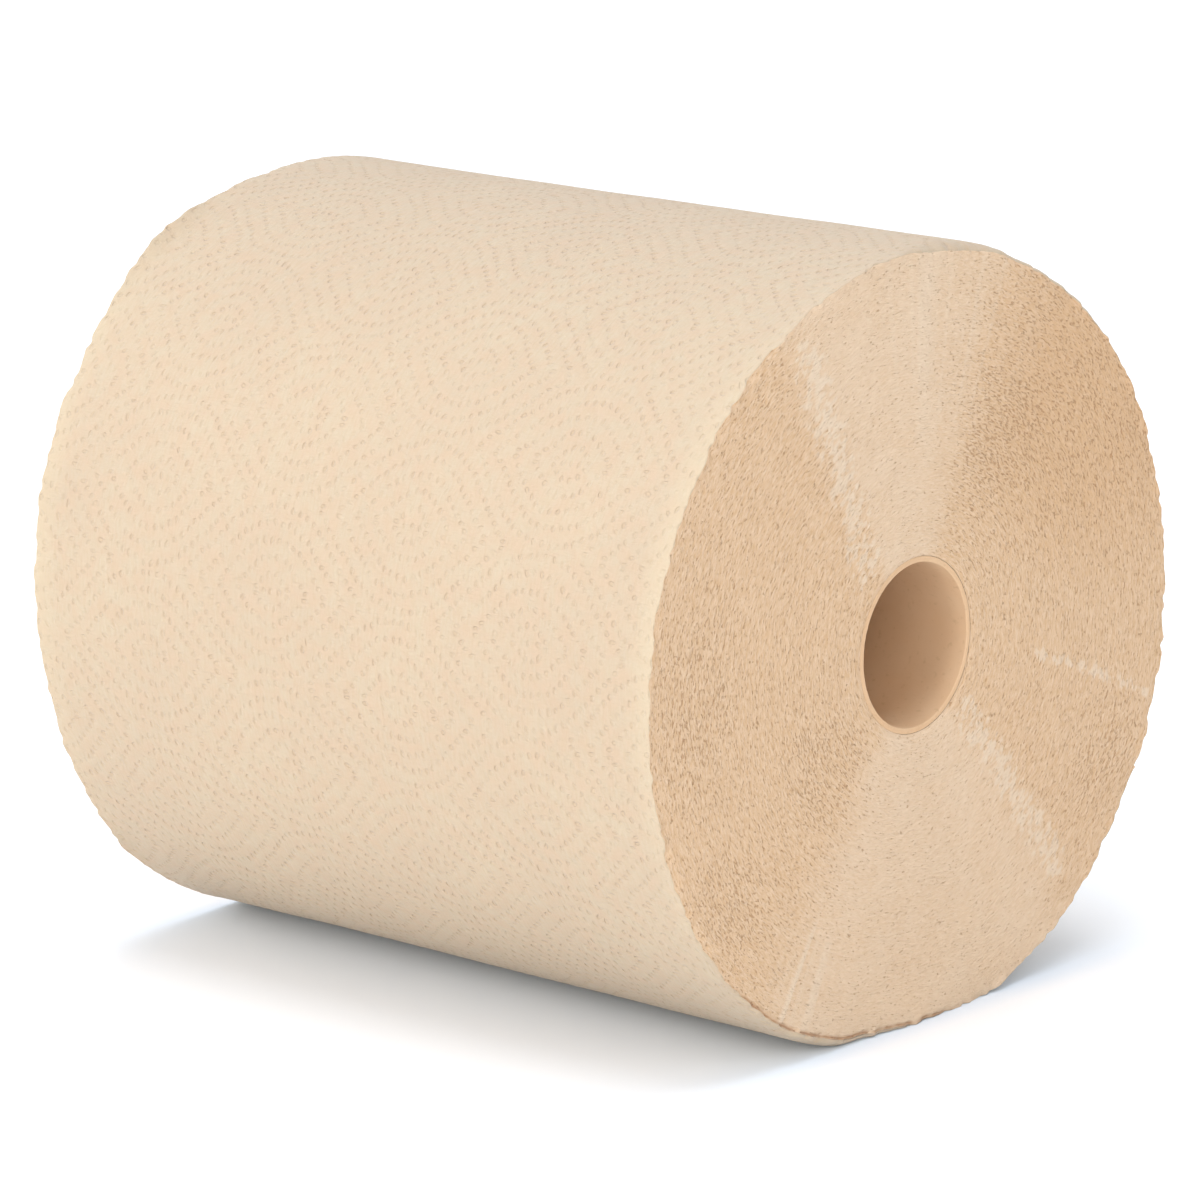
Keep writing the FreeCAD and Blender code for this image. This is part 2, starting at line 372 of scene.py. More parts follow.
def skin(angle, along):
    """Points of the outermost turn, and three facts on each: where it lies on the sheet,
    along and round, and how much it belongs to the lit rim.

    Each angle's radius swells towards the near end, is drawn in or turned out at the
    rims, rippled near the cut edges, pressed in at the dots and uneven by slow noise.
    """
    angle, along = angle[:, None], along[None, :]
    turned = turned_length(angle[:, 0])[:, None]
    end = np.sign(along)
    to_end = HALF_LENGTH - np.abs(along)
    swell = sum(more * bell(angle, middle, width) for middle, width, more in SWELLS)
    radius = turn_radius(angle) + swell * smooth(along, *SWELL_SPAN)
    offset = rim_offset(angle, end) - swell * (end > 0)
    inset = np.maximum(-offset, RIM_INSET)
    bend = np.clip(1 - to_end / (RIM_DEPTH + DEPTH_PER_INSET * inset), 0, 1)
    radius = radius - inset * (1 - np.sqrt(1 - bend * bend))
    radius = radius + np.maximum(offset, 0) * np.clip(1 - to_end / FLARE_REACH, 0, 1) ** 2

    near_edge = 1 - smooth(to_end, 0, EDGE_REACH)
    shifted = angle + END_SHIFT * end
    (slow_height, slow_length), (fine_height, fine_length) = EDGE_RIPPLES
    ripple = slow_height * ripples(shifted, slow_length, 3) + fine_height * ripples(shifted, fine_length, 4)
    radius = radius + ripple * near_edge ** 2
    torn = 1 + (TORN_FOOT[2] - 1) * bell(angle, *TORN_FOOT[:2]) * (end > 0)
    (slow_run, slow_length), (fine_run, fine_length) = SCALLOPS
    run = slow_run * ripples(shifted, slow_length, 5) + fine_run * torn * ripples(shifted, fine_length, 6)
    length = along + end * (run * near_edge ** 3 + foot_lean(angle, end) * near_edge)

    slow = sheet_waves(along, turned, *LONG_WAVES) + 0.5 * sheet_waves(along, turned, *SHORT_WAVES)
    radius = radius + WAVE_HEIGHT * slow
    stray_along = (RING_STRAY * sheet_waves(along, turned, *RINGS_ALONG)
                   + DOT_STRAY * sheet_waves(along, turned, *DOTS_ALONG))
    stray_round = (RING_STRAY * sheet_waves(along, turned, *RINGS_ROUND)
                   + DOT_STRAY * sheet_waves(along, turned, *DOTS_ROUND))
    sheet_along = along + stray_along - CELL_PLACE[0]
    sheet_turned = turned + stray_round - CELL_PLACE[1]
    depth = DOT_DEPTH * (1 + sheet_waves(along, turned, *DOT_STRENGTH))
    pillow = PILLOW_HEIGHT * sheet_waves(along, turned, *PILLOWS)
    radius = radius - depth * dots(sheet_along, sheet_turned) + pillow

    length, across, upward = np.broadcast_arrays(
        length, MIDDLE_Y + radius * cosd(angle), MIDDLE_Z + radius * sind(angle))
    points = np.stack([length, across, np.maximum(upward, 0)], axis=-1)
    lit_edge = near_edge * bell(angle, *LIT_RIM)
    sheet = np.stack(np.broadcast_arrays(sheet_along, sheet_turned, lit_edge), axis=-1)
    return points, sheet


def layered_noise(first, second, third, seed):
    """Noise from 0 to 1 in three layers, each twice as fine and half as strong."""
    total = 0
    for scale in (1, 2, 4):
        total = total + cell_noise(first * scale, second * scale, third * scale, seed + scale) / scale
    return total / (1 + 1 / 2 + 1 / 4)


def polar_patch(turn, angle, middle, size):
    """1 in the middle of an oval patch of an end face, 0 from its edge on."""
    off = np.hypot((turn - middle[0]) / size[0], near_angle(angle, middle[1]) / size[1])
    return 1 - smooth(off, 0.25, 1)


def pressed_and_sheen_share(turn, angle, end):
    """Where the blade has pressed the cut edges smooth and pale, with a painted sheen of
    the light along the turns that makes them paler still: two wide wedges that meet at
    the core, above and below it, with ragged edges. Below 0 is a darker patch."""
    turned = near_angle(angle + (FAR_FACE_TURN if end == FAR_END else 0), 180) + 180
    outward, around = WEDGE_GRAIN
    ragged = WEDGE_RAGGEDNESS * (layered_noise(turn / outward, angle / around, 0.5, 31) - 0.5)
    share = 0 * turn
    for rise, full, fade, fall in WEDGES:
        wedge = smooth(turned + ragged, rise, full) * (1 - smooth(turned + ragged, fade, fall))
        share = np.maximum(share, wedge)
    return share - polar_patch(turn, turned, *WARM_PATCH) * (1 - share)


def smears(turn, angle, side, height):
    """Ragged flakes of fibre that the blade has dragged over the turns.

    They follow paths across the face: where layered noise and the nearness to a path
    add up to enough, there is a flake.
    """
    across, outward = FLAKE_GRAIN
    ragged = layered_noise(side / across, height / across, turn / outward, 35)
    flakes = 0 * turn
    for radii, angles, width in SMEAR_PATHS:
        off = np.radians(near_angle(angle, np.interp(turn, radii, angles))) * turn
        on_path = smooth(turn, radii[0], radii[0] + 5) * (1 - smooth(turn, radii[-1] - 5, radii[-1]))
        nearness = on_path * np.exp(-(off / width) ** 2)
        flakes = np.maximum(flakes, smooth(ragged + 0.34 * nearness, 0.7, 0.86) * smooth(nearness, 0.05, 0.5))
    return flakes


def flutes(turn, angle, seed):
    """Narrow ridges that run outwards across the turns, near the top and the foot."""
    waves = 0.5 + 0.5 * ripples(angle, FLUTE_STEP, seed)
    share = 0 * turn
    for middle, size, strength in FLUTED_PATCHES:
        patch = strength * polar_patch(turn, angle, middle, size)
        share = np.maximum(share, patch * smooth(waves, 0.35, 0.8))
    return share


def end_face(edge, angle, end, ring_count):
    """Points of the cut ends of all turns at one end, and two sets of facts on each.

    Straight lines run from the core to the rim at each angle. The face then stands
    out and falls back along the roll: slow waves from turn to turn, fine bundles of
    fibre that follow the turns, flutes and smears. The facts are the turn, how pressed
    it is (which also sets a painted sheen) and how specked, then smears, flutes and the lip.
    """
    share = np.linspace(0, 1, ring_count)[None, :]
    angle = angle[:, None]
    inner = np.stack([np.full_like(angle, 0), CORE_Y + CORE_RADIUS * cosd(angle),
                      CORE_Z + CORE_RADIUS * sind(angle)], axis=-1)
    rim = edge[:, None, :]
    points = inner + (rim - inner) * share[..., None]
    side, height = points[..., 1], points[..., 2]
    turn = CORE_RADIUS + share * (MEAN_RADIUS - CORE_RADIUS) + 0 * angle
    seed = 20 if end == NEAR_END else 60

    rings = cell_noise(turn / TURN_SIZE, 0.5, 0.5, seed) - 0.5
    across, outward = SLOW_SIZE
    slow = cell_noise(side / across, height / across, turn / outward, seed + 1) - 0.5
    across, outward = BUNDLE_SIZE
    bundle = cell_noise(side / across, height / across, turn / outward, seed + 2) - 0.5

    pressed = pressed_and_sheen_share(turn, angle, end)
    specked = 0.35 * cell_noise(side / SPECK_SIZE, height / SPECK_SIZE, 0.5, seed + 3)
    for middle, size in SPECKED_PATCHES:
        specked = np.maximum(specked, polar_patch(turn, angle, middle, size))
    specked = specked * (1 - 0.6 * np.clip(pressed, 0, 1))
    flakes = smears(turn, angle, side, height) if end == NEAR_END else 0 * turn
    fluted = flutes(turn, angle, seed + 4)
    parted = smooth(ripples(angle, FLUTE_STEP, seed + 5), -0.8, 0.1)
    loose = parted * smooth(bell(angle, *LIP_SPAN), 0, 0.4)
    lip = loose * np.exp(-((turn - LIP_TURN) / LIP_WIDTH) ** 2)
    relief = (TURN_HEIGHT * rings + SLOW_HEIGHT * slow + BUNDLE_HEIGHT * bundle * (1 - 0.5 * pressed)
              + FLUTE_HEIGHT * fluted + FLAKE_HEIGHT * flakes)
    off_core = smooth(share, 0, 0.02)
    settled = off_core * (1 - smooth(share, 0.985, 1))
    rim_blend = smooth(share, 0.97, 1)
    flat = end * (HALF_LENGTH + foot_lean(angle, end) * smooth(share, 0.8, 1))
    points[..., 0] = (flat + (rim[..., 0] - flat) * rim_blend
                      + end * (relief * settled - CORE_DROP * (1 - off_core) - LIP_DROP * lip))
    return points, np.stack([turn, pressed, specked], axis=-1), np.stack([flakes, fluted, lip], axis=-1)


def grid_normals(points):
    """Unit normals of a grid of points: steps along its rows' way crossed with steps
    along its columns' way."""
    down = np.gradient(points, axis=0)
    along = np.gradient(points, axis=1)
    crossed = np.cross(down, along)
    return crossed / np.linalg.norm(crossed, axis=-1, keepdims=True)


def put_grid(name, points, material, node, facts=None, normals=None, closed=False):
    """Make a piece of four-cornered faces between neighbours in a grid of points.

    Facts gives, by name, three numbers for each point, which its material reads.
    """
    rows, columns = points.shape[:2]
    index = np.arange(rows * columns).reshape(rows, columns)
    if closed:
        index = np.concatenate([index, index[:1]])
    corners = np.stack([index[:-1, :-1], index[1:, :-1], index[1:, 1:], index[:-1, 1:]], axis=-1)
    mesh = bpy.data.meshes.new(name)
    mesh.from_pydata((points * MM).reshape(-1, 3), [], corners.reshape(-1, 4))
    mesh.update()
    mesh.shade_smooth()
    for fact, numbers in (facts or {}).items():
        attribute = mesh.attributes.new(fact, "FLOAT_VECTOR", "POINT")
        attribute.data.foreach_set("vector", numbers.reshape(-1).astype(np.float32))
    if normals is not None:
        mesh.normals_split_custom_set_from_vertices(normals.reshape(-1, 3))
    mesh.materials.append(material)
    piece = bpy.data.objects.new(name, mesh)
    bpy.context.scene.collection.objects.link(piece)
    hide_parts(node)
    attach(piece, "root")


def core_tube():
    """Points of the cardboard tube: its wall's outline carried round the core's axis.

    Each rim has the low ridges of its plies and is a little ragged. The bore is plain.
    """
    angle = np.linspace(0, FULL_TURN, CORE_ANGLE_COUNT, endpoint=False)[:, None]
    wall = np.linspace(0, 1, CORE_RIM_COUNT)
    hump = 1 - (2 * wall - 1) ** 4
    ply_ridges = PLY_HEIGHT * np.cos(2 * np.pi * wall * PLY_COUNT)
    rim = CORE_HALF_LENGTH - CORE_ROUNDING * (1 - np.sqrt(hump)) + ply_ridges * hump
    rim_radius = CORE_RADIUS - CORE_CLEARANCE - (CORE_WALL - CORE_CLEARANCE) * wall
    bore = np.linspace(1, -1, CORE_BORE_COUNT + 2)[1:-1] * (CORE_HALF_LENGTH - 1)
    bore_radius = np.full_like(bore, CORE_RADIUS - CORE_WALL)
    length = np.concatenate([rim, bore, -rim[::-1], rim[:1]])
    radius = np.concatenate([rim_radius, bore_radius, rim_radius[::-1], rim_radius[:1]])
    on_rim = np.concatenate([np.ones(rim.size), np.zeros(bore.size), np.ones(rim.size + 1)])
    ragged = CORE_ROUGHNESS * (cell_noise(angle / CORE_ROUGH_STEP, on_rim[None, :], 0.5, 71) - 0.5)
    length = length[None, :] + np.sign(length)[None, :] * ragged * on_rim[None, :]
    radius = radius[None, :] + 0 * angle
    return np.stack([length, CORE_Y + radius * cosd(angle), CORE_Z + radius * sind(angle)], axis=-1)


def add(tree, kind, links=None, **settings):
    """Add a node with its settings. Links gives inputs, by name or number, a value, an
    output, or a node whose first output they take."""
    made = tree.nodes.new(kind)
    for name, value in settings.items():
        setattr(made, name, value)
    for socket, value in (links or {}).items():
        if isinstance(value, bpy.types.Node):
            value = value.outputs[0]
        if isinstance(value, bpy.types.NodeSocket):
            tree.links.new(value, made.inputs[socket])
        else:
            made.inputs[socket].default_value = value
    return made


def new_material(name):
    """A material with a Principled shader, and that shader's node tree and node."""
    material = bpy.data.materials.new(name)
    material.use_nodes = True
    tree = material.node_tree
    return material, tree, tree.nodes["Principled BSDF"]


def dot_nodes(tree, sheet):
    """The numbers of dots() once more, as nodes, so that each dot is sharp."""
    found = []
    for shift in (0, 0.5):
        period = (2 * CELL_COLUMN, CELL_REPEAT, 1)
        moved = add(tree, "ShaderNodeVectorMath", {
            0: sheet, 1: (period[0] * shift, period[1] * shift, 0)}, operation="ADD")
        wrapped = add(tree, "ShaderNodeVectorMath", {
            0: moved, 1: tuple(side / 2 for side in period), 2: tuple(-side / 2 for side in period)},
            operation="WRAP")
        size = add(tree, "ShaderNodeVectorMath", {0: wrapped}, operation="ABSOLUTE")
        half_sum = add(tree, "ShaderNodeVectorMath", {0: size, 1: (0.5, 0.5, 0)}, operation="DOT_PRODUCT")
        parts = add(tree, "ShaderNodeSeparateXYZ", {0: size})
        across, upward = parts.outputs[0], parts.outputs[1]
        low = add(tree, "ShaderNodeMath", {0: across, 1: half_sum.outputs[1]}, operation="MINIMUM")
        high = add(tree, "ShaderNodeMath", {0: upward, 1: half_sum.outputs[1]}, operation="MAXIMUM")
        bent = add(tree, "ShaderNodeCombineXYZ", {0: low, 1: high})
        distance = add(tree, "ShaderNodeVectorMath", {0: bent}, operation="LENGTH")
        angle = add(tree, "ShaderNodeMath", {0: low, 1: high}, operation="ARCTAN2")
        excess = add(tree, "ShaderNodeMath", {0: across, 1: low}, operation="SUBTRACT")
        over = add(tree, "ShaderNodeMath", {0: excess, 1: distance.outputs[1]}, operation="DIVIDE")
        arc = add(tree, "ShaderNodeMath", {0: over, 1: 2 ** 0.5, 2: angle}, operation="MULTIPLY_ADD")
        found.append((distance.outputs[1], arc, across, upward, low, high))
    second_nearer = add(tree, "ShaderNodeMath", {0: found[1][0], 1: found[0][0]}, operation="LESS_THAN")
    picked = []
    for first, second in zip(*found):
        picked.append(add(tree, "ShaderNodeMix", {0: second_nearer, 2: first, 3: second}))
    distance, arc, across, upward, low, high = picked
    steps = add(tree, "ShaderNodeMath", {0: distance, 1: RING_STEP}, operation="DIVIDE")
    whole = add(tree, "ShaderNodeMath", {0: steps}, operation="ROUND")
    ring = add(tree, "ShaderNodeClamp", {0: whole, 1: 1.0, 2: float(RING_COUNT)})
    counted = add(tree, "ShaderNodeMath", {0: ring, 1: arc}, operation="MULTIPLY")
    dot_number = add(tree, "ShaderNodeMath", {
        0: counted, 1: DOTS_PER_STEP / QUARTER_SHARE}, operation="MULTIPLY")
    share = add(tree, "ShaderNodeMath", {0: dot_number}, operation="FRACT")
    beside = add(tree, "ShaderNodeMath", {
        0: share, 1: DOT_PITCH, 2: -DOT_PITCH / 2}, operation="MULTIPLY_ADD")
    outward = add(tree, "ShaderNodeMath", {
        0: ring, 1: -RING_STEP, 2: distance}, operation="MULTIPLY_ADD")
    offset = add(tree, "ShaderNodeCombineXYZ", {0: outward, 1: beside})
    first_way = add(tree, "ShaderNodeCombineXYZ", {0: low, 1: high})
    lowered = add(tree, "ShaderNodeMath", {0: low, 1: -1.0}, operation="MULTIPLY")
    second_way = add(tree, "ShaderNodeCombineXYZ", {0: high, 1: lowered})
    off_along = add(tree, "ShaderNodeVectorMath", {0: offset, 1: first_way}, operation="DOT_PRODUCT")
    off_round = add(tree, "ShaderNodeVectorMath", {0: offset, 1: second_way}, operation="DOT_PRODUCT")
    widths = add(tree, "ShaderNodeMath", {0: distance, 1: DOT_HALF_WIDTH}, operation="MULTIPLY")
    lengths = add(tree, "ShaderNodeMath", {0: distance, 1: DOT_HALF_LENGTH}, operation="MULTIPLY")
    ways = add(tree, "ShaderNodeCombineXYZ", {0: off_along.outputs[1], 1: off_round.outputs[1]})
    reach = add(tree, "ShaderNodeCombineXYZ", {0: widths, 1: lengths, 2: 1.0})
    oval = add(tree, "ShaderNodeVectorMath", {0: ways, 1: reach}, operation="DIVIDE")
    off = add(tree, "ShaderNodeVectorMath", {0: oval}, operation="LENGTH")
    row_steps = add(tree, "ShaderNodeMath", {0: across, 1: DOT_PITCH}, operation="DIVIDE")
    row_whole = add(tree, "ShaderNodeMath", {0: row_steps}, operation="ROUND")
    row_place = add(tree, "ShaderNodeClamp", {0: row_whole, 1: 0.0, 2: 1.0})
    row_beside = add(tree, "ShaderNodeMath", {
        0: row_place, 1: -DOT_PITCH, 2: across}, operation="MULTIPLY_ADD")
    off_row = add(tree, "ShaderNodeCombineXYZ", {0: row_beside, 1: upward})
    row_oval = add(tree, "ShaderNodeVectorMath", {
        0: off_row, 1: (1 / DOT_HALF_WIDTH, 1 / DOT_HALF_LENGTH, 0)}, operation="MULTIPLY")
    row = add(tree, "ShaderNodeVectorMath", {0: row_oval}, operation="LENGTH")
    return add(tree, "ShaderNodeMath", {0: off.outputs[1], 1: row.outputs[1]}, operation="MINIMUM")


def tissue():
    """Unbleached creped kraft tissue, embossed between a studded and a soft roller.

    That gives the eye a dull cream sheet with rows of small pressed dots, a fine
    crepe across the web and fibres that lie mostly along it.
    """
    material, tree, shader = new_material("unbleached_creped_kraft_tissue")
    place = add(tree, "ShaderNodeAttribute", attribute_name="place").outputs["Vector"]
    sheet = add(tree, "ShaderNodeVectorMath", {0: place, 1: (1, 1, 0)}, operation="MULTIPLY")
    off_dot = dot_nodes(tree, sheet)
    floor_of_dot = add(tree, "ShaderNodeMapRange", {0: off_dot, 1: 1.3, 2: 0.5, 3: 0.0, 4: 1.0},
                       interpolation_type="SMOOTHSTEP")
    # Patches some 4.5 mm wide where the roller has pressed more or less
    uneven = add(tree, "ShaderNodeTexNoise", {"Vector": sheet, "Scale": 0.22, "Detail": 2.0})
    strength = add(tree, "ShaderNodeMapRange", {0: uneven, 1: 0.35, 2: 0.65, 3: 0.4, 4: 1.0})
    dot = add(tree, "ShaderNodeMath", {0: floor_of_dot, 1: strength}, operation="MULTIPLY")

    # Crepe ridges 3 mm long: 0.3 mm apart on the real sheet, which is too fine to show,
    # so they are drawn 0.7 mm apart
    crepe_place = add(tree, "ShaderNodeVectorMath", {0: sheet, 1: (0.35, 1.5, 1)}, operation="MULTIPLY")
    crepe = add(tree, "ShaderNodeTexNoise", {"Vector": crepe_place, "Scale": 1.0, "Detail": 3.0})
    # Fibres some 3 mm long that lie round the roll
    fibre_place = add(tree, "ShaderNodeVectorMath", {0: sheet, 1: (1.3, 0.3, 1)}, operation="MULTIPLY")
    fibre = add(tree, "ShaderNodeTexNoise", {"Vector": fibre_place, "Scale": 1.0, "Detail": 4.0})
    # Clouds some 45 mm wide in the pulp
    cloud = add(tree, "ShaderNodeTexNoise", {"Vector": sheet, "Scale": 0.022, "Detail": 3.0})

    cloud_share = add(tree, "ShaderNodeMapRange", {0: cloud, 1: 0.35, 2: 0.65})
    base = add(tree, "ShaderNodeMixRGB", {
        "Fac": cloud_share, "Color1": linear("BAA891"), "Color2": linear("BDAC94")})
    mottle = add(tree, "ShaderNodeMapRange", {0: uneven, 1: 0.35, 2: 0.65, 3: 0.0, 4: 0.7})
    mottled = add(tree, "ShaderNodeMixRGB", {"Fac": mottle, "Color1": base, "Color2": linear("BEA58C")})
    fibre_share = add(tree, "ShaderNodeMapRange", {0: fibre, 1: 0.4, 2: 0.75, 3: 0.0, 4: 0.5})
    with_fibre = add(tree, "ShaderNodeMixRGB", {
        "Fac": fibre_share, "Color1": mottled, "Color2": linear("B8A285")})
    dot_share = add(tree, "ShaderNodeMath", {0: dot, 1: 0.3}, operation="MULTIPLY")
    dotted = add(tree, "ShaderNodeMixRGB", {
        "Fac": dot_share, "Color1": with_fibre, "Color2": linear("B9A284")})
    # Painted highlight: paler along the rims where they catch the light
    lit_rim = add(tree, "ShaderNodeSeparateXYZ", {0: place}).outputs["Z"]
    rim_highlight_share = add(tree, "ShaderNodeMath", {0: lit_rim, 1: 0.5}, operation="MULTIPLY")
    coloured = add(tree, "ShaderNodeMixRGB", {
        "Fac": rim_highlight_share, "Color1": dotted, "Color2": linear("C6B599")})

    dent = add(tree, "ShaderNodeMath", {0: dot, 1: -0.26}, operation="MULTIPLY")
    creped = add(tree, "ShaderNodeMath", {0: crepe, 1: 0.24, 2: dent}, operation="MULTIPLY_ADD")
    height = add(tree, "ShaderNodeMath", {0: fibre, 1: 0.26, 2: creped}, operation="MULTIPLY_ADD")
    bump = add(tree, "ShaderNodeBump", {"Height": height, "Distance": MM, "Strength": 1.0})

    tree.links.new(coloured.outputs[0], shader.inputs["Base Color"])
    tree.links.new(bump.outputs[0], shader.inputs["Normal"])
    shader.inputs["Roughness"].default_value = 0.88
    shader.inputs["Specular IOR Level"].default_value = 0.25
    shader.inputs["Sheen Weight"].default_value = 0.12
    shader.inputs["Sheen Roughness"].default_value = 0.5
    return material


def sawn_edges():
    """The cut ends of several hundred turns of that tissue, sawn off a log.

    That gives the eye a felted tan face: short slits and tufts that follow the turns, the
    slits darkened with painted shade, and paler wedges where the blade has rubbed the
    fibres flat, with a painted sheen of the light along the turns.
    """
    material, tree, shader = new_material("sawn_edges_of_kraft_tissue")
    place = add(tree, "ShaderNodeSeparateXYZ", {
        0: add(tree, "ShaderNodeAttribute", attribute_name="place").outputs["Vector"]})
    turn, pressed, specked = place.outputs
    marks = add(tree, "ShaderNodeSeparateXYZ", {
        0: add(tree, "ShaderNodeAttribute", attribute_name="marks").outputs["Vector"]})
    flakes, fluted, lip = marks.outputs
    where = add(tree, "ShaderNodeTexCoord").outputs["Object"]
    face = add(tree, "ShaderNodeVectorMath", {0: where, 1: (0, 1 / MM, 1 / MM)}, operation="MULTIPLY")
    turn_only = add(tree, "ShaderNodeCombineXYZ", {0: turn})

    # Tufts some 2 mm long round the roll and 0.5 mm from turn to turn
    tuft_place = add(tree, "ShaderNodeVectorMath", {0: face, 1: (0, 0.5, 0.5)}, operation="MULTIPLY")
    tuft_turn = add(tree, "ShaderNodeVectorMath", {
        0: turn_only, 1: (2.0, 0, 0), 2: tuft_place}, operation="MULTIPLY_ADD")
    tuft = add(tree, "ShaderNodeTexNoise", {
        "Vector": tuft_turn, "Scale": 1.0, "Detail": 4.0, "Roughness": 0.6})
    # Slits between turns, some 1 mm long
    slit_place = add(tree, "ShaderNodeVectorMath", {0: face, 1: (0, 0.8, 0.8)}, operation="MULTIPLY")
    slit_turn = add(tree, "ShaderNodeVectorMath", {
        0: turn_only, 1: (2.2, 0, 0), 2: slit_place}, operation="MULTIPLY_ADD")
    slit = add(tree, "ShaderNodeTexNoise", {"Vector": slit_turn, "Scale": 1.0, "Detail": 1.0})
    # Patches some 11 mm wide that the blade has rubbed more or less, which also vary the painted sheen
    patch = add(tree, "ShaderNodeTexNoise", {
        "Vector": face, "Scale": 0.09, "Detail": 5.0, "Roughness": 0.65})

    few = add(tree, "ShaderNodeMath", {0: pressed, 1: 0.035, 2: 0.65}, operation="MULTIPLY_ADD")
    closed = add(tree, "ShaderNodeMath", {0: specked, 1: -0.07, 2: few}, operation="MULTIPLY_ADD")
    past = add(tree, "ShaderNodeMath", {0: slit, 1: closed}, operation="SUBTRACT")
    open_slit = add(tree, "ShaderNodeMapRange", {
        0: past, 1: 0.0, 2: 0.05}, interpolation_type="SMOOTHSTEP")

    tuft_share = add(tree, "ShaderNodeMapRange", {0: tuft, 1: 0.34, 2: 0.66})
    base = add(tree, "ShaderNodeMixRGB", {
        "Fac": tuft_share, "Color1": linear("CEAA84"), "Color2": linear("DDC0A1")})
    # Paler wedges: fibres rubbed flat, and a painted sheen of the light along the turns
    rub = add(tree, "ShaderNodeMapRange", {0: patch, 1: 0.3, 2: 0.7, 3: 0.35, 4: 0.65})
    rub_and_sheen_share = add(tree, "ShaderNodeMath", {0: rub, 1: pressed}, operation="MULTIPLY", use_clamp=True)
    paler = add(tree, "ShaderNodeMixRGB", {"Fac": rub_and_sheen_share, "Color1": base, "Color2": linear("DFC8AE")})
    warm_share = add(tree, "ShaderNodeMath", {0: pressed, 1: -0.4}, operation="MULTIPLY", use_clamp=True)
    warmer = add(tree, "ShaderNodeMixRGB", {"Fac": warm_share, "Color1": paler, "Color2": linear("C99F74")})
    # Painted shade in the open slits between turns, which the bump also sinks
    slit_shade_share = add(tree, "ShaderNodeMath", {0: open_slit, 1: 0.45}, operation="MULTIPLY")
    slitted = add(tree, "ShaderNodeMixRGB", {"Fac": slit_shade_share, "Color1": warmer, "Color2": linear("A27348")})
    dragged = add(tree, "ShaderNodeMath", {0: flakes, 1: fluted}, operation="MAXIMUM")
    drag_share = add(tree, "ShaderNodeMath", {0: dragged, 1: 0.5}, operation="MULTIPLY")
    flaked = add(tree, "ShaderNodeMixRGB", {
        "Fac": drag_share, "Color1": slitted, "Color2": linear("E2D1BB")})
    # Painted shadow in the gap where the outermost sheets part at the foot
    lip_shadow_share = add(tree, "ShaderNodeMath", {0: lip, 1: 0.6}, operation="MULTIPLY")
    coloured = add(tree, "ShaderNodeMixRGB", {"Fac": lip_shadow_share, "Color1": flaked, "Color2": linear("9E653C")})

    sunk = add(tree, "ShaderNodeMath", {0: open_slit, 1: -0.3}, operation="MULTIPLY")
    height = add(tree, "ShaderNodeMath", {0: tuft, 1: 0.6, 2: sunk}, operation="MULTIPLY_ADD")
    bump = add(tree, "ShaderNodeBump", {"Height": height, "Distance": MM, "Strength": 1.0})

    tree.links.new(coloured.outputs[0], shader.inputs["Base Color"])
    tree.links.new(bump.outputs[0], shader.inputs["Normal"])
    shader.inputs["Roughness"].default_value = 0.92
    shader.inputs["Specular IOR Level"].default_value = 0.15
    return material


def chipboard():
    """Grey-brown chipboard, wound in a spiral from thin strips and glued.

    That gives the eye a smooth matt bore with small flecks of fibre. The lines of the plies on
    each rim are ridges of the core's shape, not drawn in this material.
    """
    material, tree, shader = new_material("spiral_wound_chipboard")
    where = add(tree, "ShaderNodeTexCoord").outputs["Object"]
    # Clouds some 17 mm wide and flecks of 1.5 mm. Object coordinates are in metres.
    cloud = add(tree, "ShaderNodeTexNoise", {"Vector": where, "Scale": 60.0, "Detail": 3.0})
    fleck = add(tree, "ShaderNodeTexNoise", {"Vector": where, "Scale": 650.0, "Detail": 4.0})
    cloud_share = add(tree, "ShaderNodeMapRange", {0: cloud, 1: 0.3, 2: 0.7})
    base = add(tree, "ShaderNodeMixRGB", {
        "Fac": cloud_share, "Color1": linear("D1AC86"), "Color2": linear("D6B591")})
    fleck_share = add(tree, "ShaderNodeMapRange", {0: fleck, 1: 0.6, 2: 0.85, 3: 0.0, 4: 0.35})
    flecked = add(tree, "ShaderNodeMixRGB", {"Fac": fleck_share, "Color1": base, "Color2": linear("967352")})
    bump = add(tree, "ShaderNodeBump", {"Height": fleck, "Distance": 0.05 * MM, "Strength": 1.0})
    tree.links.new(flecked.outputs[0], shader.inputs["Base Color"])
    tree.links.new(bump.outputs[0], shader.inputs["Normal"])
    shader.inputs["Roughness"].default_value = 0.8
    shader.inputs["Specular IOR Level"].default_value = 0.3
    return material


